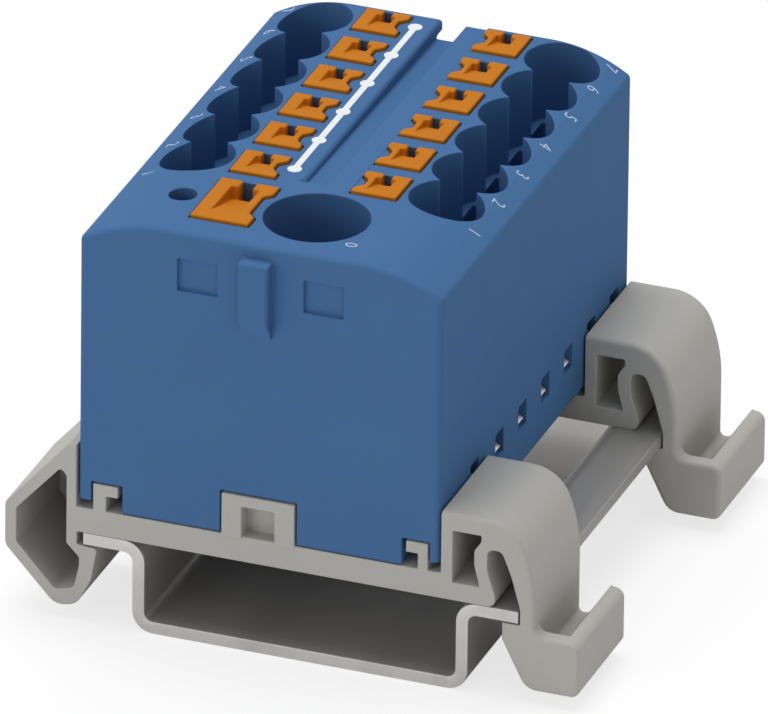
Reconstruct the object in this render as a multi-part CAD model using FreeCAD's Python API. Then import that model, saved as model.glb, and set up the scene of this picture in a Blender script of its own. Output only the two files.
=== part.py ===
import FreeCAD, Part
import math
import os

os.makedirs("parts", exist_ok=True)

# A push-in power distribution block on two rail feet, clipped to a short piece
# of 35 mm top-hat rail. Millimetres, +Z up, +Y along the rail towards the back,
# +X across the rail towards the release levers. The origin is the centre of the
# rail's underside.

# Rail
rail_width = 35.0
rail_channel = 27.0
rail_height = 7.5
rail_sheet = 1.0
rail_bend = 0.7
rail_extra = 3.0

# Moulded block
block_width = 29.0
block_height = 24.55
block_seat_gap = 0.12
crown_flat = 16.0
crown_drop = 1.95
block_round = 0.5
end_wall = 0.34
spring_zone = 6.25

# Two rows of small wire ports
port_count = 6
port_pitch = 5.0
first_port = 12.98
port_spread = 10.0
port_radius = 2.88
port_depth = 6.4
throat_low = 7.4
throat_high = 9.5
throat_width = 2.7
funnel_drop = 2.2

# Feed-in port and test socket
feed_y = 6.1
feed_port_x = 2.2
feed_port_radius = 4.07
feed_port_depth = 7.2
feed_throat_low = 1.1
feed_throat_high = 5.0
feed_throat_width = 4.4
feed_funnel_drop = 2.6
test_x = -8.56
test_radius = 1.08
test_depth = 15.5

# Release buttons
first_button_shift = -0.26
button_pitch_extra = 0.17
button_width = 3.6
button_length = 3.6
button_spread = 4.85
button_travel = 1.5
feed_button_width = 4.65
feed_button_length = 6.75
feed_button_x = -4.4
feed_travel = 2.0
button_proud = 0.2
button_play = 0.12
slot_width = 0.75
feed_slot_width = 1.1
collar_height = 1.2
collar_lip = 0.35
collar_end = 0.05
notch_depth = 0.6
slot_depth = 1.1
slot_start = 0.3

# Chambers inside the block, measured from its underside
chamber_top = 14.2
chamber_width = 4.3
chamber_inner = 1.6
chamber_wall = 1.4
feed_chamber_low = 2.4
feed_chamber_high = 9.8
feed_foot_low = 3.2
feed_chamber_left = -7.2
feed_chamber_right = 6.6
tray_half = 10.5
tray_start = 2.4
tray_end_wall = 1.75
tray_fit = 0.1
cover_thickness = 0.85
bar_thickness = 1.0
leg_thickness = 0.6
leg_width = 2.7
leg_height = 8.2
barb_width = 1.3
barb_thickness = 0.5
barb_drop = 3.2
window_width = 1.75
window_height = 2.1
window_sill = 3.5
retainer_y = 7.6
retainer_top = 8.0
retainer_depth = 2.9
hook_roof = 0.75

# Clamp springs
spring_thickness = 0.35
spring_width = 2.7
spring_loop = 1.3
spring_gap = 0.1
feed_spring_thickness = 0.5
feed_spring_width = 5.4
feed_spring_loop = 1.8
feed_leg_x = 5.2
arm_drop = 4.2
sole_gap = 1.2
spring_bend = 0.9
feed_arm_drop = 4.6
feed_sole_gap = 1.5
feed_spring_bend = 1.2

# Face details of the block
groove_left = -0.85
groove_width = 1.9
groove_depth = 1.25
groove_front_depth = 0.5
groove_lip = 0.38
shelf_depth = 0.35
groove_start = 11.4
boss_x = -0.25
boss_width = 2.4
boss_proud = 1.1
boss_top = 23.4
boss_bottom = 16.8
boss_slope = 1.7
boss_round = 0.3
recess_width = 3.2
recess_height = 2.7
recess_bottom = 19.65
recess_depth = 0.35
recess_spread = 5.05

# Rail feet
foot_depth = 10.0
foot_wall = 0.92
loop_wall = 0.8
loop_web = 0.9
foot_top = 7.3
foot_drop = 6.5
beam_thickness = 2.12
foot_play = 0.15
flange_play = 0.12
flange_room = 0.5
hook_reach = 1.15
loop_far = 6.3
loop_low = 2.25
left_hook = (13.3, 12.25, 11.3)
right_hook = (13.6, 12.8, 11.85)
hook_bar = 0.95
hook_height = 2.25
hook_tongue = 0.6
hook_room = 0.35
clip_width = 5.85
clip_height = 3.35
clip_leg = 1.6
clip_bar = 0.9
clip_depth = 1.75
rear_clip_depth = 1.0
clip_back = 0.5
clip_proud = 0.12
clip_sink = 0.2
clip_fit = 0.15
lever_reach = 4.85
lever_top = 1.85
lever_edge = 1.1
lever_web = 1.2
lever_floor = 4.45
spring_out = 1.25
spring_crest = 5.4
spring_radius = 3.3
spring_side_radius = 12.0
hole_top = 5.85

# Places worked out from the sizes above
rail_half = rail_width / 2
block_right = rail_half - spring_zone - foot_play
block_x = block_right - block_width / 2
block_z = rail_height + beam_thickness + block_seat_gap
half_width = block_width / 2
shoulder_z = block_height - crown_drop
block_length = first_port + port_pitch * (port_count - 1) + port_radius + end_wall
front_y = -block_length / 2
port_places = [first_port + port_pitch * i for i in range(port_count)]
button_pitch = port_pitch + button_pitch_extra
first_button = first_port + first_button_shift
button_places = [first_button + button_pitch * i for i in range(port_count)]
bar_low = cover_thickness + 2 * tray_fit
bar_high = bar_low + bar_thickness
tray_end = block_length - tray_end_wall
button_top = block_height + button_proud
collar_low = chamber_top - tray_fit - collar_height
spring_top = collar_low - button_travel - spring_gap
feed_spring_top = collar_low - feed_travel - spring_gap


def vec(x, y, z):
    return FreeCAD.Vector(x, y, z)


def box(x0, x1, y0, y1, z0, z1):
    return Part.makeBox(x1 - x0, y1 - y0, z1 - z0, vec(x0, y0, z0))


def joined(shapes):
    first = shapes[0]
    if len(shapes) > 1:
        first = first.multiFuse(shapes[1:])
    return first.removeSplitter()


def rounded_wire(corners):
    """Closed wire in the XZ plane. A corner is (x, z) or (x, z, radius)."""
    count = len(corners)
    cuts = []
    for i, corner in enumerate(corners):
        here = vec(corner[0], 0, corner[1])
        radius = corner[2] if len(corner) > 2 else 0
        before = vec(corners[i - 1][0], 0, corners[i - 1][1]) - here
        after = vec(corners[(i + 1) % count][0], 0, corners[(i + 1) % count][1]) - here
        before.normalize()
        after.normalize()
        half_angle = before.getAngle(after) / 2
        if radius == 0 or half_angle > math.radians(89):
            cuts.append((here, None, here))
            continue
        reach = radius / math.tan(half_angle)
        middle = before + after
        middle.normalize()
        crest = here + middle * (radius / math.sin(half_angle) - radius)
        cuts.append((here + before * reach, crest, here + after * reach))
    edges = []
    for i, (start, crest, end) in enumerate(cuts):
        if crest is not None:
            edges.append(Part.Arc(start, crest, end).toShape())
        follow = cuts[(i + 1) % count][0]
        if (follow - end).Length > 1e-5:
            edges.append(Part.LineSegment(end, follow).toShape())
    return Part.Wire(edges)


def prism(corners, y0, y1):
    shape = Part.Face(rounded_wire(corners)).extrude(vec(0, y1 - y0, 0))
    shape.translate(vec(0, y0, 0))
    return shape


def plan_prism(corners, z0, z1):
    """Upright prism over a polygon of (x, y) corners."""
    points = [vec(x, y, z0) for x, y in corners]
    return Part.Face(Part.makePolygon(points + points[:1])).extrude(vec(0, 0, z1 - z0))


def cross_prism(corners, x0, x1):
    """Prism along X over a polygon of (y, z) corners."""
    points = [vec(x0, y, z) for y, z in corners]
    return Part.Face(Part.makePolygon(points + points[:1])).extrude(vec(x1 - x0, 0, 0))


def strip_corners(path, thickness):
    """Outline of a bent strip of even thickness that follows an open XZ path.
    A corner of the path is (x, z) when sharp, or (x, z, radius) of its middle line."""
    half = thickness / 2
    sides = []
    for side in (1, -1):
        line = []
        for i, corner in enumerate(path):
            x, z = corner[:2]
            normals = []
            for a, b in ((i - 1, i), (i, i + 1)):
                if a < 0 or b >= len(path):
                    continue
                dx, dz = path[b][0] - path[a][0], path[b][1] - path[a][1]
                length = math.hypot(dx, dz)
                normals.append((-dz / length, dx / length))
            if len(normals) == 1:
                line.append((x + normals[0][0] * half * side, z + normals[0][1] * half * side))
                continue
            (px, pz), (qx, qz) = normals
            scale = half * side / (1 + px * qx + pz * qz)
            turn = 1 if px * qz - pz * qx > 0 else -1
            radius = corner[2] - half * side * turn if len(corner) > 2 else 0
            line.append((x + (px + qx) * scale, z + (pz + qz) * scale, radius))
        sides.append(line)
    return sides[0] + sides[1][::-1]


def upright(radius, x, y, z0, z1):
    return Part.makeCylinder(radius, z1 - z0, vec(x, y, z0))


def mirrored(corners):
    return [(-corner[0],) + tuple(corner[1:]) for corner in reversed(corners)]


def save(shape, name, place=None):
    """Write one named piece, moved to its place."""
    if place is not None:
        shape.translate(place)
    shape.exportStep("parts/" + name + ".step")


# Rail section: one folded strip with its flanges turned outwards.
def rail_section():
    mid = rail_sheet / 2
    web = rail_channel / 2 - mid
    top = rail_height - mid
    bend = rail_bend + mid
    path = [
        (-rail_half, top), (-web, top, bend), (-web, mid, bend),
        (web, mid, bend), (web, top, bend), (rail_half, top),
    ]
    corners = strip_corners(path, rail_sheet)
    return prism(corners, front_y, front_y + block_length + rail_extra)


# Rail foot: one moulding with a hollow hook loop on the left, a beam under the
# block, and a curved spring with its release lever on the right.
def foot_loop(wall_x, y0, y1):
    tip = -rail_half - flange_room
    neck = -rail_half - flange_play - 0.2
    under = -rail_sheet - flange_play
    far = -rail_half - loop_far
    low = -rail_half - loop_low
    shell = prism([
        (wall_x, 0.0),
        (wall_x, foot_top),
        (wall_x - 0.65, foot_top, 0.4),
        (far, 1.45, 0.8),
        (far, -2.15, 1.0),
        (low, -foot_drop, 1.3),
        (low + 1.7, -foot_drop + 0.25, 1.3),
        (-rail_half + 0.65, -4.0, 1.6),
        (-rail_half + hook_reach, under - 0.08, 0.3),
        (tip, under + 0.04),
        (tip, 0.0),
    ], y0, y1)
    inner = min(wall_x, tip) - loop_wall
    hollow = prism([
        (inner, 4.55, 0.3),
        (inner - 0.45, 5.15, 0.3),
        (far + foot_wall, 1.1, 0.5),
        (far + foot_wall, -1.75, 0.5),
        (low, -5.2, 0.5),
        (low + 1.5, -4.85, 0.6),
        (neck, -2.9, 0.8),
        (neck, -2.15, 0.3),
        (inner, -1.1, 0.3),
    ], y0 - 1, y1 - loop_web)
    return shell, hollow


def foot_spring(wall_x, y0, y1):
    under = -rail_sheet - flange_play
    slot_x = rail_half + flange_play
    tip_x = rail_half + lever_reach
    strip_x = rail_half - 2.55
    side_x = rail_half + spring_out
    outer = [
        (wall_x, 0.0),
        (strip_x + 0.65, 0.0, 0.6),
        (strip_x + 0.65, 1.0, 1.2),
        (strip_x, 3.0, 2.0),
        (strip_x, 4.8, 0.52),
        (strip_x + 1.15, 4.8, 0.5),
        (slot_x - 0.75, 2.9, 3.0),
        (slot_x, 0.2, 1.5),
        (slot_x, under),
        (rail_half - 1.4, under),
        (rail_half - 1.4, -2.6, 0.5),
        (rail_half + 0.55, -foot_drop, 1.4),
        (tip_x, -foot_drop, 0.7),
        (tip_x, -lever_top, 0.75),
        (side_x, -lever_top, 0.8),
        (side_x, spring_crest / 2, spring_side_radius),
        (side_x - spring_out * 1.24, foot_top, spring_radius),
        (wall_x, foot_top),
    ]
    hole = [
        (wall_x + foot_wall, 1.5),
        (strip_x - 0.6, 1.5),
        (strip_x - 1.05, 3.3, 1.4),
        (strip_x - 1.05, 4.5, 0.7),
        (strip_x - 0.5, 5.3, 0.3),
        (strip_x - 0.5, hole_top),
        (wall_x + foot_wall, hole_top),
    ]
    pocket = [
        (side_x, 0.0), (side_x, -lever_floor, 0.4),
        (side_x + 0.8, -lever_floor, 0.5),
        (tip_x - lever_edge, -lever_top, 0.3),
        (tip_x - lever_edge + 0.3, 0.0),
    ]
    cuts = [prism(hole, y0 - 1, y1 + 1), prism(pocket, y0 + lever_web, y1 + 1)]
    return prism(outer, y0, y1), cuts


def foot_hook(side, y0, y1):
    """Upstanding hook that slides into a groove under the block."""
    outer, heel, inner = right_hook if side > 0 else left_hook
    top = beam_thickness + block_seat_gap + hook_height - clip_fit
    bar = top - hook_bar
    corners = [
        (outer, 0.5), (outer, top), (inner, top),
        (inner, bar), (heel, bar), (heel, 0.5),
    ]
    return prism([(block_x + side * corner[0],) + corner[1:] for corner in corners], y0, y1)


def foot_clip(face_y, inward, depth):
    """Small gate with a blind eye that snaps into the middle of an end face."""
    low = beam_thickness - clip_sink
    top = beam_thickness + block_seat_gap + clip_height
    half = clip_width / 2
    y0, y1 = sorted((face_y - inward * clip_proud, face_y + inward * depth))
    gate = prism([
        (block_x - half, low), (block_x + half, low),
        (block_x + half, top), (block_x - half, top),
    ], y0, y1)
    y0, y1 = sorted((face_y - inward, face_y + inward * (depth - clip_back)))
    eye = box(block_x - half + clip_leg, block_x + half - clip_leg, y0, y1,
              low - 1, top - clip_bar)
    return gate.cut(eye)


def rail_foot(y0, clip):
    y1 = y0 + foot_depth
    left_wall = block_x - half_width - foot_play
    right_wall = block_right + foot_play
    loop, hollow = foot_loop(left_wall, y0, y1)
    spring, cuts = foot_spring(right_wall, y0, y1)
    beam = box(left_wall - loop_wall / 2, right_wall + foot_wall / 2, y0, y1, 0, beam_thickness)
    hooks = [foot_hook(side, y0, y1) for side in (-1, 1)]
    body = joined([loop, spring, beam, clip] + hooks)
    return body.cut([hollow] + cuts)


# Release buttons. The outline is drawn with its outer edge at x = 0 and its
# front edge at y = 0; side turns it for the left or the right row.
def button_plan(width, length, side, grow=0.0):
    low = length * 0.2
    high = length * 0.8
    slope = notch_depth
    points = [
        (-grow, -grow), (width + grow, -grow),
        (width + grow, low + grow), (width - notch_depth + grow, low + slope + grow),
        (width - notch_depth + grow, high - slope - grow), (width + grow, high - grow),
        (width + grow, length + grow), (-grow, length + grow),
    ]
    return [(-side * (x - width / 2), y - length / 2) for x, y in points]


def button(width, length, side, slot):
    body = plan_prism(button_plan(width, length, side), collar_low, button_top)
    half = width / 2 + collar_lip
    end = length / 2 + collar_end
    collar = box(-half, half, -end, end, collar_low, collar_low + collar_height)
    body = body.fuse(collar)
    notch = box(-slot / 2, slot / 2, length / 2 - slot, length / 2 + 1,
                button_top - 3 * slot_depth, button_top + 1)
    front, back = -slot_start * length, length / 2 - slot + 0.01
    ramp = [(front, button_top + 0.01), (back, button_top - slot_depth), (back, button_top + 0.01)]
    return body.cut([notch, cross_prism(ramp, -slot, slot)]).removeSplitter()


def window_cut(width, length, side, x, y):
    tool = plan_prism(button_plan(width, length, side, button_play), chamber_top - 1, block_height + 1)
    tool.translate(vec(x, y, 0))
    return tool


# Wire ports: a straight round mouth, then a slot that leans towards the clamp.
def port_cut(side, x, y, radius, depth, slot, slot_width, drop):
    mouth = block_height - depth
    lip = radius * 0.7
    low, high = slot
    bottom = chamber_top - 0.01
    funnel = [
        (x - lip, mouth + 0.01), (low, mouth - drop), (low, bottom),
        (high, bottom), (high, mouth - drop), (x + lip, mouth + 0.01),
    ]
    if side < 0:
        funnel = mirrored(funnel)
    straight = upright(radius, side * x, y, mouth, block_height + 1)
    return [straight, prism(funnel, y - slot_width / 2, y + slot_width / 2)]


def block_body():
    """Crowned outer form of the block, edges rounded, before any cut."""
    flat = crown_flat / 2
    run = half_width - flat
    radius = (run * run + crown_drop * crown_drop) / (2 * crown_drop)
    half_turn = math.asin(run / radius) / 2
    mid_x = flat + radius * math.sin(half_turn)
    mid_z = block_height - radius * (1 - math.cos(half_turn))
    points = {}
    for side in (-1, 1):
        points[side] = [
            vec(side * half_width, 0, 0), vec(side * half_width, 0, shoulder_z),
            vec(side * mid_x, 0, mid_z), vec(side * flat, 0, block_height),
        ]
    left, right = points[-1], points[1]
    edges = [
        Part.LineSegment(left[0], left[1]).toShape(),
        Part.Arc(left[1], left[2], left[3]).toShape(),
        Part.LineSegment(left[3], right[3]).toShape(),
        Part.Arc(right[3], right[2], right[1]).toShape(),
        Part.LineSegment(right[1], right[0]).toShape(),
        Part.LineSegment(right[0], left[0]).toShape(),
    ]
    solid = Part.Face(Part.Wire(edges)).extrude(vec(0, block_length, 0))
    picked = []
    for edge in solid.Edges:
        bounds = edge.BoundBox
        at_end = bounds.YLength < 0.001 and bounds.ZMax > 1
        shoulder = abs(bounds.ZMin - shoulder_z) < 0.001 and abs(bounds.ZMax - shoulder_z) < 0.001
        if at_end or shoulder:
            picked.append(edge)
    return solid.makeFillet(block_round, picked)


def chamber_cuts():
    """Hollows that take the bar, the springs and the button collars."""
    wall = half_width - chamber_wall
    over_hook = hook_height + hook_roof
    cuts = [box(-tray_half, tray_half, tray_start, tray_end, -1, bar_high + tray_fit)]
    for y in button_places:
        low, high = y - chamber_width / 2, y + chamber_width / 2
        for side in (-1, 1):
            x0, x1 = sorted_span(side, chamber_inner, tray_half)
            cuts.append(box(x0, x1, low, min(high, tray_end), bar_low, chamber_top))
            cuts.append(box(x0, x1, low, high, clip_height + 1, chamber_top))
            x0, x1 = sorted_span(side, tray_half - 1, wall)
            cuts.append(box(x0, x1, low, high, over_hook, chamber_top))
    over_clip = clip_height + 2 * clip_fit + end_wall
    cuts.append(box(feed_chamber_left, feed_chamber_right, feed_chamber_low, feed_chamber_high,
                    over_clip, chamber_top))
    cuts.append(box(feed_chamber_left, feed_chamber_right, feed_foot_low, feed_chamber_high,
                    bar_low, over_clip + 0.1))
    low = retainer_y - leg_width / 2 - tray_fit
    high = retainer_y + leg_width / 2 + tray_fit
    for side in (-1, 1):
        x0, x1 = sorted_span(side, tray_half - retainer_depth, tray_half)
        cuts.append(box(x0, x1, low, high, bar_low, retainer_top))
        x0, x1 = sorted_span(side, tray_half - 1, wall)
        cuts.append(box(x0, x1, low, high, over_hook, retainer_top))
    return cuts


def sorted_span(side, near, far):
    return (near, far) if side > 0 else (-far, -near)


def side_window_cuts():
    cuts = []
    for y in [retainer_y] + port_places:
        for side in (-1, 1):
            x0, x1 = sorted_span(side, half_width - chamber_wall - 0.5, half_width + 1)
            cuts.append(box(x0, x1, y - window_width / 2, y + window_width / 2,
                            window_sill, window_sill + window_height))
    return cuts


def underside_cuts():
    """Grooves for the foot hooks and notches for the end clips."""
    cuts = []
    for side, hook in ((-1, left_hook), (1, right_hook)):
        outer, inner = hook[0] + clip_fit, hook[2] - hook_room
        x0, x1 = sorted_span(side, inner, outer)
        cuts.append(box(x0, x1, -1, block_length + 1, -1, hook_height))
        x0, x1 = sorted_span(side, outer - 0.01, half_width + 1)
        cuts.append(box(x0, x1, -1, block_length + 1, -1, hook_tongue))
    half = clip_width / 2 + clip_fit
    rear = block_length - rear_clip_depth - clip_fit
    for y0, y1 in ((-1, clip_depth + clip_fit), (rear, block_length + 1)):
        cuts.append(box(-half, half, y0, y1, -1, clip_height + clip_fit))
    return cuts


def face_cuts():
    """Marker groove on the crown, end recesses and the socket at the back."""
    top = block_height
    above = top + 1
    right = groove_left + groove_width
    shelf_end = button_spread - button_width / 2 - button_play
    end = block_length + 1
    low = top - groove_lip - 0.02
    lip = prism([
        (groove_left + 0.05, low), (groove_left + 0.05, above), (groove_left - 1, above),
        (groove_left - 1, top), (groove_left, top, groove_lip), (groove_left, low),
    ], groove_start, end)
    groove = [(groove_start, above), (groove_start, top - groove_front_depth),
              (end, top - groove_depth), (end, above)]
    shelf = [(groove_start, above), (groove_start, top), (end, top - shelf_depth), (end, above)]
    cuts = [lip, cross_prism(groove, groove_left, right), cross_prism(shelf, right - 0.1, shelf_end)]
    for side in (-1, 1):
        centre = side * recess_spread
        cuts.append(box(centre - recess_width / 2, centre + recess_width / 2, -1, recess_depth,
                        recess_bottom, recess_bottom + recess_height))
    socket_half = boss_width / 2 + clip_fit
    cuts.append(box(boss_x - socket_half, boss_x + socket_half, block_length - boss_proud - clip_fit, end,
                    boss_bottom - clip_fit, boss_top + clip_fit))
    return cuts


def boss():
    """Joining rib on the front face, sloped at its foot, its outer edges rounded."""
    rib = cross_prism([
        (0.2, boss_bottom - 0.2), (0, boss_bottom), (-boss_proud, boss_bottom + boss_slope),
        (-boss_proud, boss_top), (0.2, boss_top),
    ], boss_x - boss_width / 2, boss_x + boss_width / 2)
    picked = []
    for edge in rib.Edges:
        bounds = edge.BoundBox
        if bounds.YMax < 0.001 - boss_proud and bounds.ZMax > boss_bottom + boss_slope + 0.1:
            picked.append(edge)
    return rib.makeFillet(boss_round, picked)


def housing():
    body = block_body().fuse(boss())
    cuts = chamber_cuts() + side_window_cuts() + underside_cuts() + face_cuts()
    for side in (-1, 1):
        for y in port_places:
            cuts += port_cut(side, port_spread, y, port_radius, port_depth,
                             (throat_low, throat_high), throat_width, funnel_drop)
        for y in button_places:
            cuts.append(window_cut(button_width, button_length, side, side * button_spread, y))
    cuts += port_cut(1, feed_port_x, feed_y, feed_port_radius, feed_port_depth,
                     (feed_throat_low, feed_throat_high), feed_throat_width, feed_funnel_drop)
    cuts.append(window_cut(feed_button_width, feed_button_length, -1, feed_button_x, feed_y))
    cuts.append(upright(test_radius, test_x, feed_y, block_height - test_depth, block_height + 1))
    return body.cut(cuts).removeSplitter()


# Base cover: thin insulating plate that closes the tray under the bar.
def base_cover():
    return box(-tray_half + tray_fit, tray_half - tray_fit, tray_start + tray_fit, tray_end - tray_fit,
               tray_fit / 2, tray_fit / 2 + cover_thickness)


# Current bar: one stamped strip with a contact leg and a barb at each port.
def bar_leg(side, y):
    face = tray_half - tray_fit - leg_thickness / 2
    tip_x = half_width - 0.3
    barb_high = window_sill + tray_fit + barb_drop
    barb_low = window_sill + tray_fit + barb_thickness / 2
    leg = strip_corners([(face, bar_low), (face, bar_high + leg_height)], leg_thickness)
    barb = strip_corners([(face, barb_high), (tip_x, barb_low)], barb_thickness)
    if side < 0:
        leg, barb = mirrored(leg), mirrored(barb)
    return [
        prism(leg, y - leg_width / 2, y + leg_width / 2),
        prism(barb, y - barb_width / 2, y + barb_width / 2),
    ]


def current_bar():
    edge = tray_half - tray_fit
    lid = box(-half_width, half_width, 0, retainer_y + leg_width, retainer_top - tray_fit, chamber_top)
    pieces = [box(-edge, edge, tray_start + tray_fit, tray_end - tray_fit, bar_low, bar_high)]
    for side in (-1, 1):
        for y in port_places:
            pieces += bar_leg(side, y)
        leg, barb = bar_leg(side, retainer_y)
        pieces += [leg.cut(lid), barb]
    return joined(pieces + [feed_leg()])


def feed_leg():
    return box(feed_leg_x, feed_leg_x + bar_thickness, feed_y - feed_spring_width / 2,
               feed_y + feed_spring_width / 2, bar_low, bar_high + leg_height)


# Clamp springs: bent leaves with a flat foot on the bar and a sloping clamp arm.
def clamp_spring(side, y):
    low = bar_high + spring_thickness / 2 + spring_gap / 2
    crest = spring_top - spring_thickness / 2
    contact = tray_half - tray_fit - leg_thickness - spring_gap
    back = chamber_inner + spring_gap + spring_thickness / 2 + 0.5
    path = [
        (contact - sole_gap, low), (back, low), (back, crest, spring_bend),
        (back + 2.2 * spring_loop, crest, spring_bend), (contact - 0.2, crest - arm_drop),
    ]
    corners = strip_corners(path, spring_thickness)
    if side < 0:
        corners = mirrored(corners)
    return prism(corners, y - spring_width / 2, y + spring_width / 2)


def feed_spring():
    low = bar_high + feed_spring_thickness / 2 + spring_gap / 2
    crest = feed_spring_top - feed_spring_thickness / 2
    contact = feed_leg_x - spring_gap
    back = feed_chamber_left + spring_gap + feed_spring_thickness / 2 + 0.3
    path = [
        (contact - feed_sole_gap, low), (back, low), (back, crest, feed_spring_bend),
        (back + 2.6 * feed_spring_loop, crest, feed_spring_bend),
        (contact - 0.3, crest - feed_arm_drop),
    ]
    corners = strip_corners(path, feed_spring_thickness)
    return prism(corners, feed_y - feed_spring_width / 2, feed_y + feed_spring_width / 2)


block_place = vec(block_x, front_y, block_z)
rail_top = vec(0, 0, rail_height)

save(rail_section(), "rail_section")
rear_y = front_y + block_length
front_clip = foot_clip(front_y, 1, clip_depth)
rear_clip = foot_clip(rear_y, -1, rear_clip_depth)
save(rail_foot(front_y, front_clip), "rail_foot_front", rail_top)
save(rail_foot(rear_y - foot_depth, rear_clip), "rail_foot_rear", rail_top)
save(housing(), "housing", block_place)
save(base_cover(), "base_cover", block_place)
save(current_bar(), "current_bar", block_place)

for row, side in (("left", -1), ("right", 1)):
    for number, (port_y, button_y) in enumerate(zip(port_places, button_places), 1):
        place = block_place + vec(side * button_spread, button_y, 0)
        save(button(button_width, button_length, side, slot_width), f"button_{row}_{number}", place)
        save(clamp_spring(side, port_y), f"clamp_spring_{row}_{number}", block_place)

feed_place = block_place + vec(feed_button_x, feed_y, 0)
save(button(feed_button_width, feed_button_length, -1, feed_slot_width), "feed_button", feed_place)
save(feed_spring(), "feed_clamp_spring", block_place)
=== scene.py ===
import math

import bpy
from mathutils import Matrix, Vector


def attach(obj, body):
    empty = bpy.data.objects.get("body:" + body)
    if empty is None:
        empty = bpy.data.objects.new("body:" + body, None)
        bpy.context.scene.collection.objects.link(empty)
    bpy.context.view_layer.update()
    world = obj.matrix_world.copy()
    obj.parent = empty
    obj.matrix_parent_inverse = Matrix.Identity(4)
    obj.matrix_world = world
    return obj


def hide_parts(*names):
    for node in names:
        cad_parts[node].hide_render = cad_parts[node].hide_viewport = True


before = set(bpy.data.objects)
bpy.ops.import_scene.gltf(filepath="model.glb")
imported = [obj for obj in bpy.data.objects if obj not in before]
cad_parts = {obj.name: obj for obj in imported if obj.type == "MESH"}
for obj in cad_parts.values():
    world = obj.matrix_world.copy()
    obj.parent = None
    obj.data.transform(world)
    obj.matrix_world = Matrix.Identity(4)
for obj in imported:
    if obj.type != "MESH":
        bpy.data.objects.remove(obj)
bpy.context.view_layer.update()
mm = 0.001
print("frame loaded")

# The blue block, in millimetres: its place, the curve of its crown, the shelf beside the marker
# groove, and the rounding of its edges
block = {
    "centre": -3.4, "front": -20.6, "length": 41.2, "base": 9.74, "height": 24.55,
    "flat": 8.0, "shoulder": 14.5, "drop": 1.95,
    "shelfEdge": -0.47, "shelfDepth": 0.35, "shelfBand": 0.4,
    "edge": 0.085, "rim": 0.1,
}


def crownHeight(x):
    # level in the middle, then an arc down to each shoulder
    run = block["shoulder"] - block["flat"]
    radius = (run ** 2 + block["drop"] ** 2) / (2 * block["drop"])
    out = max(0.0, abs(x - block["centre"]) - block["flat"])
    return block["base"] + block["height"] - (radius - math.sqrt(radius ** 2 - out ** 2))


# Helpers for picking a piece and finishing it

def deselectAll():
    if bpy.context.object and bpy.context.object.mode != "OBJECT":
        bpy.ops.object.mode_set(mode="OBJECT")
    bpy.ops.object.select_all(action="DESELECT")


def pickOnly(piece):
    deselectAll()
    piece.select_set(True)
    bpy.context.view_layer.objects.active = piece


def finishPiece(piece, name, material, body):
    pickOnly(piece)
    bpy.ops.object.transform_apply(location=True, rotation=True, scale=True)
    piece.name = name
    piece.data.name = name
    piece.data.materials.clear()
    piece.data.materials.append(material)
    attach(piece, body)


def useModifier(piece, kind, **settings):
    pickOnly(piece)
    modifier = piece.modifiers.new(kind.lower(), kind)
    for key, value in settings.items():
        setattr(modifier, key, value)
    bpy.ops.object.modifier_apply(modifier=modifier.name)


# Materials

def newTree(name):
    material = bpy.data.materials.new(name)
    material.use_nodes = True
    tree = material.node_tree
    shader = tree.nodes["Principled BSDF"]
    return material, tree, shader


def addNode(tree, kind, x, y, **settings):
    node = tree.nodes.new(kind)
    node.location = (x, y)
    for key, value in settings.items():
        setattr(node, key, value)
    return node


skinDetail = {"cloud": 4.0, "grain": 2.0}


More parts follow.
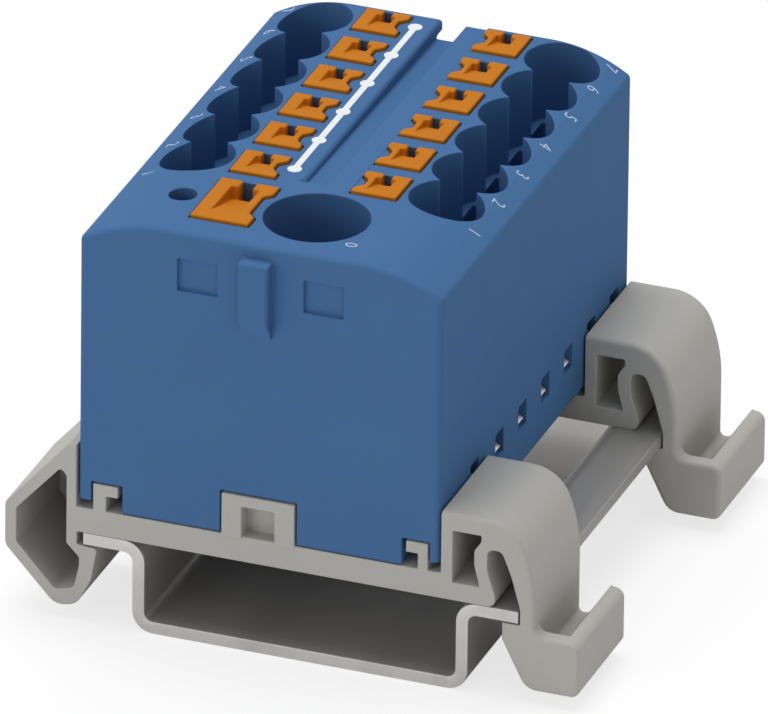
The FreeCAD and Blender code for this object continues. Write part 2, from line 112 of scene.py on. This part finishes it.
def makeSkinGroup():
    # Moulded or rolled skin: clouding of the colour, uneven gloss and a fine raised grain
    group = bpy.data.node_groups.new("mouldedSkin", "ShaderNodeTree")
    face = group.interface
    face.new_socket("Colour", in_out="INPUT", socket_type="NodeSocketColor")
    for title, value in (
        ("Clouding", 0.1), ("Cloud Size", 4.0), ("Roughness", 0.5), ("Gloss Range", 0.1),
        ("Grain Size", 0.2), ("Grain Depth", 0.01), ("Stretch", 1.0),
    ):
        socket = face.new_socket(title, in_out="INPUT", socket_type="NodeSocketFloat")
        socket.default_value = value
    face.new_socket("Colour", in_out="OUTPUT", socket_type="NodeSocketColor")
    face.new_socket("Roughness", in_out="OUTPUT", socket_type="NodeSocketFloat")
    face.new_socket("Normal", in_out="OUTPUT", socket_type="NodeSocketVector")
    entry = addNode(group, "NodeGroupInput", -1200, 0)
    leave = addNode(group, "NodeGroupOutput", 700, 0)
    place = addNode(group, "ShaderNodeTexCoord", -1200, 300)
    squeeze = addNode(group, "ShaderNodeCombineXYZ", -1000, 100)
    squeeze.inputs[0].default_value = 1.0
    squeeze.inputs[2].default_value = 1.0
    scaled = addNode(group, "ShaderNodeVectorMath", -800, 250, operation="MULTIPLY")
    group.links.new(entry.outputs["Stretch"], squeeze.inputs[1])
    group.links.new(place.outputs["Object"], scaled.inputs[0])
    group.links.new(squeeze.outputs[0], scaled.inputs[1])
    perCloud = addNode(group, "ShaderNodeMath", -1000, -100, operation="DIVIDE")
    perCloud.inputs[0].default_value = 1 / mm
    group.links.new(entry.outputs["Cloud Size"], perCloud.inputs[1])
    perGrain = addNode(group, "ShaderNodeMath", -1000, -300, operation="DIVIDE")
    perGrain.inputs[0].default_value = 1 / mm
    group.links.new(entry.outputs["Grain Size"], perGrain.inputs[1])
    cloud = addNode(group, "ShaderNodeTexNoise", -600, 200)
    cloud.inputs["Detail"].default_value = skinDetail["cloud"]
    group.links.new(scaled.outputs[0], cloud.inputs["Vector"])
    group.links.new(perCloud.outputs[0], cloud.inputs["Scale"])
    grain = addNode(group, "ShaderNodeTexNoise", -600, -200)
    grain.inputs["Detail"].default_value = skinDetail["grain"]
    group.links.new(scaled.outputs[0], grain.inputs["Vector"])
    group.links.new(perGrain.outputs[0], grain.inputs["Scale"])
    # colour: clouds, which lie round 0.5, move it a little up and down
    swing = addNode(group, "ShaderNodeMath", -350, 350, operation="SUBTRACT")
    swing.inputs[1].default_value = 0.5
    group.links.new(cloud.outputs[0], swing.inputs[0])
    amount = addNode(group, "ShaderNodeMath", -150, 350, operation="MULTIPLY_ADD")
    amount.inputs[2].default_value = 1.0
    group.links.new(swing.outputs[0], amount.inputs[0])
    group.links.new(entry.outputs["Clouding"], amount.inputs[1])
    tint = addNode(group, "ShaderNodeVectorMath", 100, 350, operation="SCALE")
    group.links.new(entry.outputs["Colour"], tint.inputs[0])
    group.links.new(amount.outputs[0], tint.inputs["Scale"])
    group.links.new(tint.outputs[0], leave.inputs["Colour"])
    # gloss: clouds and grain together
    both = addNode(group, "ShaderNodeMath", -350, 50, operation="ADD")
    group.links.new(swing.outputs[0], both.inputs[0])
    group.links.new(grain.outputs[0], both.inputs[1])
    gloss = addNode(group, "ShaderNodeMath", -150, 50, operation="MULTIPLY_ADD")
    group.links.new(both.outputs[0], gloss.inputs[0])
    group.links.new(entry.outputs["Gloss Range"], gloss.inputs[1])
    group.links.new(entry.outputs["Roughness"], gloss.inputs[2])
    group.links.new(gloss.outputs[0], leave.inputs["Roughness"])
    # grain: its depth is given in millimetres
    depth = addNode(group, "ShaderNodeMath", -350, -300, operation="MULTIPLY")
    depth.inputs[1].default_value = mm
    group.links.new(entry.outputs["Grain Depth"], depth.inputs[0])
    raised = addNode(group, "ShaderNodeBump", 100, -200)
    raised.inputs["Strength"].default_value = 1.0
    group.links.new(grain.outputs[0], raised.inputs["Height"])
    group.links.new(depth.outputs[0], raised.inputs["Distance"])
    group.links.new(raised.outputs["Normal"], leave.inputs["Normal"])
    return group


skinGroup = makeSkinGroup()

# Cloud and grain sizes and the grain's depth are in millimetres
finishes = {
    "bluePlastic": {
        "colour": (0.0695, 0.168, 0.355), "clouding": 0.08, "cloud": 6.0, "roughness": 0.58,
        "gloss": 0.10, "grain": 0.16, "depth": 0.006, "specular": 0.08, "metal": 0.0,
        "ior": 1.25,
    },
    "darkBluePlastic": {
        "colour": (0.052, 0.128, 0.285), "clouding": 0.10, "cloud": 5.0, "roughness": 0.55,
        "gloss": 0.10, "grain": 0.2, "depth": 0.008, "specular": 0.15, "metal": 0.0,
        "ior": 1.5,
    },
    "orangePlastic": {
        "colour": (0.565, 0.187, 0.010), "clouding": 0.12, "cloud": 2.0, "roughness": 0.5,
        "gloss": 0.12, "grain": 0.14, "depth": 0.005, "specular": 0.12, "metal": 0.0,
        "ior": 1.35,
    },
    "greyPlastic": {
        "colour": (0.497, 0.486, 0.455), "clouding": 0.10, "cloud": 7.0, "roughness": 0.52,
        "gloss": 0.12, "grain": 0.22, "depth": 0.008, "specular": 0.15, "metal": 0.0,
        "ior": 1.35,
    },
    "railSteel": {
        "colour": (0.37, 0.358, 0.342), "clouding": 0.35, "cloud": 3.0, "roughness": 0.36,
        "gloss": 0.12, "grain": 0.35, "depth": 0.003, "specular": 0.3, "metal": 0.33,
        "ior": 1.5, "stretch": 0.08, "cut": (0.66, 0.645, 0.635), "cutFacing": 0.8,
    },
    "tinnedCopper": {
        "colour": (0.62, 0.60, 0.57), "clouding": 0.15, "cloud": 2.0, "roughness": 0.3,
        "gloss": 0.1, "grain": 0.2, "depth": 0.004, "specular": 0.5, "metal": 0.9,
        "ior": 1.5,
    },
    "springSteel": {
        "colour": (0.45, 0.45, 0.46), "clouding": 0.1, "cloud": 2.0, "roughness": 0.28,
        "gloss": 0.1, "grain": 0.2, "depth": 0.003, "specular": 0.5, "metal": 1.0,
        "ior": 1.5,
    },
    "whitePrint": {
        "colour": (0.84, 0.86, 0.88), "clouding": 0.08, "cloud": 0.6, "roughness": 0.5,
        "gloss": 0.1, "grain": 0.12, "depth": 0.004, "specular": 0.2, "metal": 0.0,
        "ior": 1.5,
    },
    "palePrint": {
        "colour": (0.50, 0.60, 0.78), "clouding": 0.3, "cloud": 0.4, "roughness": 0.5,
        "gloss": 0.1, "grain": 0.12, "depth": 0.004, "specular": 0.2, "metal": 0.0,
        "ior": 1.5,
    },
}


def addCutEnds(tree, look, skin):
    # the sawn ends of the rail, faces that look along Y, are brighter than its skin
    place = addNode(tree, "ShaderNodeTexCoord", -1100, 300)
    apart = addNode(tree, "ShaderNodeSeparateXYZ", -900, 300)
    size = addNode(tree, "ShaderNodeMath", -720, 300, operation="ABSOLUTE")
    mask = addNode(tree, "ShaderNodeMath", -720, 140, operation="GREATER_THAN")
    mask.inputs[1].default_value = look["cutFacing"]
    blend = addNode(tree, "ShaderNodeMix", -540, 200, data_type="RGBA")
    blend.inputs["A"].default_value = (*look["colour"], 1.0)
    blend.inputs["B"].default_value = (*look["cut"], 1.0)
    tree.links.new(place.outputs["Normal"], apart.inputs[0])
    tree.links.new(apart.outputs["Y"], size.inputs[0])
    tree.links.new(size.outputs[0], mask.inputs[0])
    tree.links.new(mask.outputs[0], blend.inputs["Factor"])
    tree.links.new(blend.outputs["Result"], skin.inputs["Colour"])


def makeFinish(name):
    look = finishes[name]
    material, tree, shader = newTree(name)
    skin = addNode(tree, "ShaderNodeGroup", -350, 100)
    skin.node_tree = skinGroup
    skin.inputs["Colour"].default_value = (*look["colour"], 1.0)
    for socket, key in (
        ("Clouding", "clouding"), ("Cloud Size", "cloud"), ("Roughness", "roughness"),
        ("Gloss Range", "gloss"), ("Grain Size", "grain"), ("Grain Depth", "depth"),
    ):
        skin.inputs[socket].default_value = look[key]
    skin.inputs["Stretch"].default_value = look.get("stretch", 1.0)
    tree.links.new(skin.outputs["Colour"], shader.inputs["Base Color"])
    tree.links.new(skin.outputs["Roughness"], shader.inputs["Roughness"])
    tree.links.new(skin.outputs["Normal"], shader.inputs["Normal"])
    shader.inputs["Metallic"].default_value = look["metal"]
    shader.inputs["IOR"].default_value = look["ior"]
    shader.inputs["Specular IOR Level"].default_value = look["specular"]
    if "cut" in look:
        addCutEnds(tree, look, skin)
    return material


materials = {name: makeFinish(name) for name in finishes}
print("materials made")


# Dressed copies of the CAD pieces: merged, flat faces joined again, edges rounded. Lengths are in
# millimetres and angles in degrees, and reach and near say how closely a place has to match
dressing = {
    "weld": 0.001, "sameFace": 0.5, "sharpFrom": 35, "segments": 2, "normalWeight": 90,
    "square": 0.9999, "reach": 0.002, "near": 0.01,
}


def copyNode(node, name):
    piece = bpy.data.objects.new(name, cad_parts[node].data.copy())
    bpy.context.scene.collection.objects.link(piece)
    pickOnly(piece)
    bpy.ops.object.mode_set(mode="EDIT")
    bpy.ops.mesh.select_all(action="SELECT")
    bpy.ops.mesh.remove_doubles(threshold=dressing["weld"] * mm)
    bpy.ops.mesh.dissolve_limited(angle_limit=math.radians(dressing["sameFace"]))
    bpy.ops.mesh.select_all(action="DESELECT")
    bpy.ops.object.mode_set(mode="OBJECT")
    return piece


def startPick(piece, kind):
    pickOnly(piece)
    bpy.ops.object.mode_set(mode="EDIT")
    bpy.ops.mesh.select_mode(type=kind)
    bpy.ops.mesh.select_all(action="DESELECT")
    bpy.ops.object.mode_set(mode="OBJECT")
    return piece.data


def pickEdges(piece, wanted):
    mesh = startPick(piece, "EDGE")
    for edge in mesh.edges:
        ends = [mesh.vertices[i].co / mm for i in edge.vertices]
        edge.select = all(wanted(end) for end in ends)
    bpy.ops.object.mode_set(mode="EDIT")


def pickFlat(piece, axis, low, high):
    mesh = startPick(piece, "FACE")
    for face in mesh.polygons:
        square = abs(face.normal[axis]) > dressing["square"]
        face.select = square and low < face.center[axis] / mm < high
    bpy.ops.object.mode_set(mode="EDIT")


def supportFlat(piece, axis, rim, low, high=None):
    # a rim of even width round a flat face, so the edge rounding never meets a long diagonal
    pickFlat(piece, axis, low - dressing["reach"], (high or low) + dressing["reach"])
    bpy.ops.mesh.inset(thickness=rim * mm, depth=0, use_boundary=True, use_even_offset=True)
    bpy.ops.object.mode_set(mode="OBJECT")


def roundEdges(piece, edge, leave=None):
    sharpFrom = math.radians(dressing["sharpFrom"])
    pickOnly(piece)
    bpy.ops.object.mode_set(mode="EDIT")
    bpy.ops.mesh.select_mode(type="EDGE")
    bpy.ops.mesh.select_all(action="SELECT")
    bpy.ops.mesh.vert_connect_concave()
    bpy.ops.mesh.select_all(action="DESELECT")
    bpy.ops.mesh.edges_select_sharp(sharpness=sharpFrom)
    if leave:
        bpy.ops.object.mode_set(mode="OBJECT")
        for line in piece.data.edges:
            ends = [piece.data.vertices[i].co / mm for i in line.vertices]
            if line.select and all(leave(end) for end in ends):
                line.select = False
        bpy.ops.object.mode_set(mode="EDIT")
    bpy.ops.mesh.bevel(
        offset=edge * mm, segments=dressing["segments"], affect="EDGES", clamp_overlap=False,
        loop_slide=False, miter_outer="ARC",
    )
    bpy.ops.object.mode_set(mode="OBJECT")
    bpy.ops.object.shade_smooth_by_angle(angle=sharpFrom)
    useModifier(
        piece, "WEIGHTED_NORMAL", mode="FACE_AREA", weight=dressing["normalWeight"],
        keep_sharp=True,
    )


def dressCopy(node, name, edge, materialName, body, reshape=None):
    piece = copyNode(node, name)
    if reshape:
        reshape(piece)
    roundEdges(piece, edge)
    finishPiece(piece, name, materials[materialName], body)
    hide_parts(node)


def onShelfStep(end):
    # the low step beside the groove dies out towards the front, so it stays sharp
    top = block["base"] + block["height"]
    beside = abs(end.x - block["shelfEdge"]) < dressing["near"]
    return beside and end.z > top - block["shelfBand"]


def dressBlock():
    # flat faces of the crown, the shelf and the back get a rim
    piece = copyNode("housing", "blockShell")
    top = block["base"] + block["height"]
    supportFlat(piece, 2, block["rim"], top)
    supportFlat(piece, 2, block["rim"], top - block["shelfDepth"], top - dressing["near"])
    supportFlat(piece, 1, block["rim"], block["front"] + block["length"])
    roundEdges(piece, block["edge"], onShelfStep)
    finishPiece(piece, "blockShell", materials["bluePlastic"], "block")
    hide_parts("housing")


dressBlock()
dressed = {
    "base_cover": ("trayCover", 0.10, "darkBluePlastic", "cover_plastic"),
    "rail_section": ("railPiece", 0.08, "railSteel", "rail_steel"),
    "current_bar": ("currentBar", 0.06, "tinnedCopper", "tinned_copper"),
}
for node, (name, edge, materialName, slotName) in dressed.items():
    dressCopy(node, name, edge, materialName, "block")
print("block and rail dressed")

# Rail feet. The outline of the curved spring and its lever is broadly rounded at the front: hole,
# strip and slot say where that outline lies, with heights counted from the rail's top
foot = {
    "depth": 10.0, "proud": 0.12, "railTop": 7.5, "edge": 0.07, "rim": 0.09,
    "broad": 0.4, "steps": 4, "springFrom": 11, "holeTop": 5.9, "stripTop": 4.9, "stripX": 16.6,
    "slotX": 17.66, "slotEnd": 16.3, "slotFloor": -1.2,
}


def onSpringEdge(end, front):
    # does this end of an edge lie on the outline that is broadly rounded
    height = end.z - foot["railTop"]
    if abs(end.y - front) > dressing["reach"] or end.x < foot["springFrom"]:
        return False
    low = height < foot["slotFloor"] or (height < 0 and end.x < foot["slotEnd"])
    high = height > foot["holeTop"] or (height > foot["stripTop"] and end.x > foot["stripX"])
    return high or low or end.x > foot["slotX"]


def dressFoot(node, name, front, back, clipLevel):
    piece = copyNode(node, name)
    pickEdges(piece, lambda end: onSpringEdge(end, front))
    bpy.ops.mesh.bevel(
        offset=foot["broad"] * mm, segments=foot["steps"], affect="EDGES", clamp_overlap=False,
        loop_slide=False,
    )
    bpy.ops.object.mode_set(mode="OBJECT")
    for level in (front, back, clipLevel):
        supportFlat(piece, 1, foot["rim"], level)
    roundEdges(piece, foot["edge"])
    finishPiece(piece, name, materials["greyPlastic"], "block")
    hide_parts(node)


# the middle clip stands a little proud of the end of each foot
blockFront = block["front"]
blockBack = blockFront + block["length"]
dressFoot(
    "rail_foot_front", "frontFoot", blockFront, blockFront + foot["depth"],
    blockFront - foot["proud"],
)
dressFoot(
    "rail_foot_rear", "rearFoot", blockBack - foot["depth"], blockBack,
    blockBack + foot["proud"],
)
print("feet dressed")

# Release buttons: slopeFoot is the depth of the screwdriver slope in the solid, slopeShare what of
# it is kept
buttons = {
    "inRow": 6, "edge": 0.09, "feedEdge": 0.125, "top": 34.49,
    "slopeFoot": 1.1, "slopeNear": 0.05, "slopeShare": 0.55,
}


def liftSlope(piece):
    # the slope of a small button runs shallow enough for its floor to show from the front
    for vertex in piece.data.vertices:
        depth = buttons["top"] - vertex.co.z / mm
        if abs(depth - buttons["slopeFoot"]) < buttons["slopeNear"]:
            vertex.co.z = (buttons["top"] - depth * buttons["slopeShare"]) * mm


for row in ("left", "right"):
    for number in range(1, buttons["inRow"] + 1):
        dressCopy(
            f"button_{row}_{number}", f"{row}Button{number}", buttons["edge"], "orangePlastic",
            f"{row}_button_{number}", liftSlope,
        )
dressCopy(
    "feed_button", "feedButton", buttons["feedEdge"], "orangePlastic", "feed_release",
)
print("buttons dressed")

for nodeName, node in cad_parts.items():
    if nodeName.startswith("clamp_spring") or nodeName == "feed_clamp_spring":
        node.data.materials.clear()
        node.data.materials.append(materials["springSteel"])
print("springs finished")


# Print on the crown: the white node line and the paler port numbers. The lift is the share of
# the print's thickness by which its middle stands over the crown

def layOnCrown(piece, lift):
    for vertex in piece.data.vertices:
        vertex.co.z += (crownHeight(vertex.co.x / mm) + lift) * mm


nodeLine = {
    "x": -5.63, "first": 13.05, "last": 38.88, "nodes": 6, "width": 0.5,
    "disc": 0.56, "discSides": 32, "discProud": 0.01, "thick": 0.03, "lift": 0.3,
}


def makeNodeLine():
    x = nodeLine["x"] * mm
    first = block["front"] + nodeLine["first"]
    last = block["front"] + nodeLine["last"]
    thick = nodeLine["thick"]
    deselectAll()
    bpy.ops.mesh.primitive_cube_add(size=1, location=(x, (first + last) / 2 * mm, 0))
    bar = bpy.context.object
    bar.scale = (nodeLine["width"] * mm, (last - first) * mm, thick * mm)
    parts = [bar]
    for i in range(nodeLine["nodes"]):
        y = first + (last - first) * i / (nodeLine["nodes"] - 1)
        deselectAll()
        bpy.ops.mesh.primitive_cylinder_add(
            vertices=nodeLine["discSides"], radius=nodeLine["disc"] * mm,
            depth=(thick + nodeLine["discProud"]) * mm, location=(x, y * mm, 0),
        )
        parts.append(bpy.context.object)
    deselectAll()
    for part in parts:
        part.select_set(True)
    bpy.context.view_layer.objects.active = bar
    bpy.ops.object.transform_apply(location=True, rotation=True, scale=True)
    bpy.ops.object.join()
    line = bpy.context.object
    layOnCrown(line, thick * nodeLine["lift"])
    finishPiece(line, "nodeLine", materials["whitePrint"], "block")


makeNodeLine()

# along counts from the block's front, and thin slims the strokes
portNumbers = {
    "size": 1.4, "thick": 0.03, "lift": 0.3, "turn": -90, "thin": -0.012, "rows": (9.75, -16.5),
    "along": (10.4, 15.6, 20.7, 25.85, 31.2, 36.2, 40.15), "feed": (2.74, 2.77),
}


def makePortNumber(word, x, y):
    deselectAll()
    bpy.ops.object.text_add(location=(0, 0, 0))
    text = bpy.context.object
    text.data.body = word
    text.data.size = portNumbers["size"] * mm
    text.data.align_x = "CENTER"
    text.data.align_y = "CENTER"
    text.data.extrude = portNumbers["thick"] / 2 * mm
    text.data.offset = portNumbers["thin"] * mm
    bpy.ops.object.convert(target="MESH")
    text = bpy.context.object
    text.matrix_world = (
        Matrix.Translation((x * mm, (block["front"] + y) * mm, 0))
        @ Matrix.Rotation(math.radians(portNumbers["turn"]), 4, "Z")
    )
    pickOnly(text)
    bpy.ops.object.transform_apply(location=True, rotation=True, scale=True)
    return text


def makePortNumbers():
    words = [makePortNumber("0", *portNumbers["feed"])]
    for x in portNumbers["rows"]:
        for number, y in enumerate(portNumbers["along"], 1):
            words.append(makePortNumber(str(number), x, y))
    deselectAll()
    for word in words:
        word.select_set(True)
    bpy.context.view_layer.objects.active = words[0]
    bpy.ops.object.join()
    figures = bpy.context.object
    layOnCrown(figures, portNumbers["thick"] * portNumbers["lift"])
    finishPiece(figures, "portNumbers", materials["palePrint"], "block")


makePortNumbers()
print("print laid on")


# Floor, world and lamps, in metres but for the floor's level
studio = {
    "floorSize": 6.0, "floorLevel": -0.02, "floorColour": 0.9, "floorSeen": 0.27,
    "floorGlow": 0.745, "floorRoughness": 0.9, "floorSpecular": 0.1, "world": 0.385,
    "keyPower": 4.1, "keySize": 0.55, "keyPlace": (-0.09, 0.10, 0.80),
    "fillPower": 1.78, "fillSize": 0.6, "fillPlace": (-0.45, -0.85, 0.25),
    "lampAim": (0, 0, 0.015),
}


def grey(level):
    return (level, level, level, 1.0)


def makeFloor():
    deselectAll()
    bpy.ops.mesh.primitive_plane_add(
        size=studio["floorSize"], location=(0, 0, studio["floorLevel"] * mm))
    floor = bpy.context.object
    floor.name = "floor"
    material, tree, shader = newTree("paleFloor")
    shader.inputs["Roughness"].default_value = studio["floorRoughness"]
    shader.inputs["Specular IOR Level"].default_value = studio["floorSpecular"]
    shader.inputs["Emission Color"].default_value = grey(1.0)
    # to the camera the floor is near white with a soft shadow, and to other rays plainly pale
    path = addNode(tree, "ShaderNodeLightPath", -700, 0)
    tone = addNode(tree, "ShaderNodeMix", -350, 100, data_type="RGBA")
    tone.inputs["A"].default_value = grey(studio["floorColour"])
    tone.inputs["B"].default_value = grey(studio["floorSeen"])
    glow = addNode(tree, "ShaderNodeMath", -350, -200, operation="MULTIPLY")
    glow.inputs[1].default_value = studio["floorGlow"]
    tree.links.new(path.outputs["Is Camera Ray"], tone.inputs["Factor"])
    tree.links.new(path.outputs["Is Camera Ray"], glow.inputs[0])
    tree.links.new(tone.outputs["Result"], shader.inputs["Base Color"])
    tree.links.new(glow.outputs[0], shader.inputs["Emission Strength"])
    floor.data.materials.append(material)


def makeWorld():
    world = bpy.data.worlds.new("studio")
    bpy.context.scene.world = world
    world.use_nodes = True
    tree = world.node_tree
    sky = tree.nodes["Background"]
    sky.inputs["Color"].default_value = grey(1.0)
    # white to the eye, in a mirror and through glass, and a dimmer light on the object
    path = addNode(tree, "ShaderNodeLightPath", -900, 0)
    mirrored = addNode(tree, "ShaderNodeMath", -700, 0, operation="MAXIMUM")
    through = addNode(tree, "ShaderNodeMath", -500, 0, operation="MAXIMUM")
    level = addNode(tree, "ShaderNodeMapRange", -300, 0)
    level.inputs["To Min"].default_value = studio["world"]
    level.inputs["To Max"].default_value = 1.0
    tree.links.new(path.outputs["Is Camera Ray"], mirrored.inputs[0])
    tree.links.new(path.outputs["Is Glossy Ray"], mirrored.inputs[1])
    tree.links.new(mirrored.outputs[0], through.inputs[0])
    tree.links.new(path.outputs["Is Transmission Ray"], through.inputs[1])
    tree.links.new(through.outputs[0], level.inputs["Value"])
    tree.links.new(level.outputs[0], sky.inputs["Strength"])


def makeLamp(name, power, size, place):
    lamp = bpy.data.lights.new(name, "AREA")
    lamp.energy = power
    lamp.size = size
    holder = bpy.data.objects.new(name, lamp)
    bpy.context.scene.collection.objects.link(holder)
    holder.location = place
    holder.rotation_mode = "QUATERNION"
    aim = Vector(studio["lampAim"]) - Vector(place)
    holder.rotation_quaternion = aim.to_track_quat("-Z", "Y")


# The photograph's view: angles in degrees, lens and sensor in millimetres, the rest in metres
photoCamera = {
    "azimuth": 20.280, "elevation": 27.064, "roll": 0.674, "distance": 2.0,
    "target": (0, -0.0006, 0.01535), "right": -0.000809, "up": 0.000739,
    "lens": 1239.5, "sensor": 36, "near": 0.1, "far": 20,
}


def makeCamera():
    around = math.radians(photoCamera["azimuth"])
    above = math.radians(photoCamera["elevation"])
    back = Vector((
        math.sin(around) * math.cos(above), -math.cos(around) * math.cos(above), math.sin(above),
    ))
    right = Vector((math.cos(around), math.sin(around), 0))
    up = back.cross(right)
    aim = Vector(photoCamera["target"]) + right * photoCamera["right"] + up * photoCamera["up"]
    data = bpy.data.cameras.new("photoCamera")
    data.lens = photoCamera["lens"]
    data.sensor_width = photoCamera["sensor"]
    data.clip_start = photoCamera["near"]
    data.clip_end = photoCamera["far"]
    camera = bpy.data.objects.new("photoCamera", data)
    bpy.context.scene.collection.objects.link(camera)
    roll = Matrix.Rotation(math.radians(photoCamera["roll"]), 3, "Z")
    turn = Matrix((right, up, back)).transposed() @ roll
    place = aim + back * photoCamera["distance"]
    camera.matrix_world = Matrix.Translation(place) @ turn.to_4x4()
    bpy.context.scene.camera = camera


makeFloor()
makeWorld()
makeLamp("keyLamp", studio["keyPower"], studio["keySize"], studio["keyPlace"])
makeLamp("fillLamp", studio["fillPower"], studio["fillSize"], studio["fillPlace"])
makeCamera()
bpy.context.scene.view_settings.view_transform = "Standard"
print("studio set")
